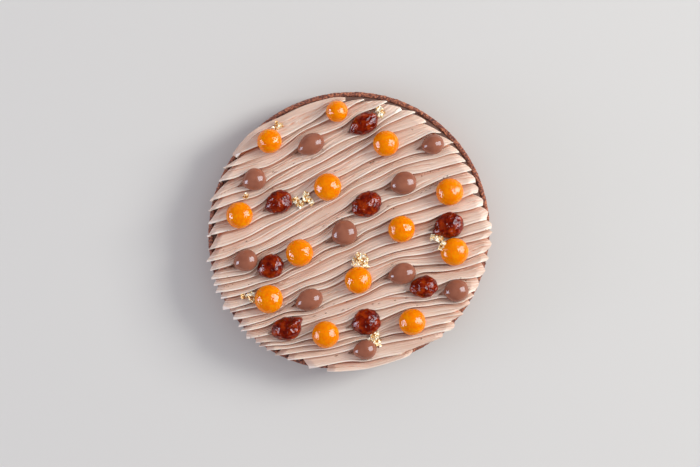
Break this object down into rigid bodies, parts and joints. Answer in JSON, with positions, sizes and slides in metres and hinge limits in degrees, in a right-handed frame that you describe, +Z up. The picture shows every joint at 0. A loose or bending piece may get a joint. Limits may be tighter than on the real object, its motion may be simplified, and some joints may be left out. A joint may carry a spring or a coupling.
{
  "type": "chocolate tart",
  "caption": "Round tart with a dark chocolate crust and ganache filling, covered with slanting ribbons of milk chocolate cream and set with glossy orange, milk chocolate and caramel drops.",
  "frame": {"origin": "middle of the flat underside of the crust", "axes": "+Z up, out of the cream; +X to the right as seen from above, roughly along the ribbons of cream; +Y away from the viewer"},
  "size_m": [0.1821, 0.1784, 0.0358],
  "materials": {
    "chocolate crust": "dry baked cocoa pastry, fine grain, brown and matte",
    "ganache": "smooth set ganache with a soft sheen",
    "chocolate cream": "whipped milk chocolate cream, pale brown, satin, with fine strokes along each ribbon",
    "orange gel": "set fruit gel, deep orange, translucent and glossy",
    "milk chocolate": "smooth milk chocolate with a soft gloss",
    "dark caramel": "dark red-brown caramel, translucent, wrinkled and wet"
  },
  "bodies": {
    "root": {"crust": "chocolate crust", "filling": "ganache", "cream": "chocolate cream", "orangeDrop1": "orange gel", "orangeDrop2": "orange gel", "orangeDrop3": "orange gel", "orangeDrop4": "orange gel", "orangeDrop5": "orange gel", "orangeDrop6": "orange gel", "orangeDrop7": "orange gel", "orangeDrop8": "orange gel", "orangeDrop9": "orange gel", "orangeDrop10": "orange gel", "orangeDrop11": "orange gel", "orangeDrop12": "orange gel", "orangeDrop13": "orange gel", "milkDrop1": "milk chocolate", "milkDrop2": "milk chocolate", "milkDrop3": "milk chocolate", "milkDrop4": "milk chocolate", "milkDrop5": "milk chocolate", "milkDrop6": "milk chocolate", "milkDrop7": "milk chocolate", "milkDrop8": "milk chocolate", "milkDrop9": "milk chocolate", "milkDrop10": "milk chocolate", "darkDrop1": "dark caramel", "darkDrop2": "dark caramel", "darkDrop3": "dark caramel", "darkDrop4": "dark caramel", "darkDrop5": "dark caramel", "darkDrop6": "dark caramel", "darkDrop7": "dark caramel", "darkDrop8": "dark caramel"}
  },
  "joints": []
}
